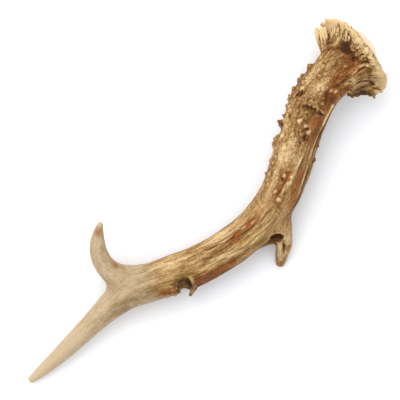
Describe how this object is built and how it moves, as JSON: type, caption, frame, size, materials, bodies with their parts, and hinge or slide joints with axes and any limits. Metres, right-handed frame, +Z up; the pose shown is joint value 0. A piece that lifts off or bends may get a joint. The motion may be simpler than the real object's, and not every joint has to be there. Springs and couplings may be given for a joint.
{
  "type": "deer antler",
  "caption": "Shed deer antler lying flat: pearled beam with a flared, toothed burr and domed seal, a short front tine, and a fork of rear and top tines.",
  "frame": {"origin": "centre of the bounding box in plan, on the surface the antler lies on", "axes": "+X along the antler from the burr to the point of the top tine, +Y towards the outside of its bend and the front tine, +Z up"},
  "size_m": [0.2231, 0.0751, 0.0395],
  "materials": {
    "antler_bone": "grained antler bone, stained brown in its grooves, worn pale on its ridges, and cream and smooth on its tines"
  },
  "bodies": {
    "root": {"lower_beam": "antler_bone", "upper_beam": "antler_bone", "front_tine": "antler_bone", "rear_tine": "antler_bone", "top_tine": "antler_bone"}
  },
  "joints": []
}
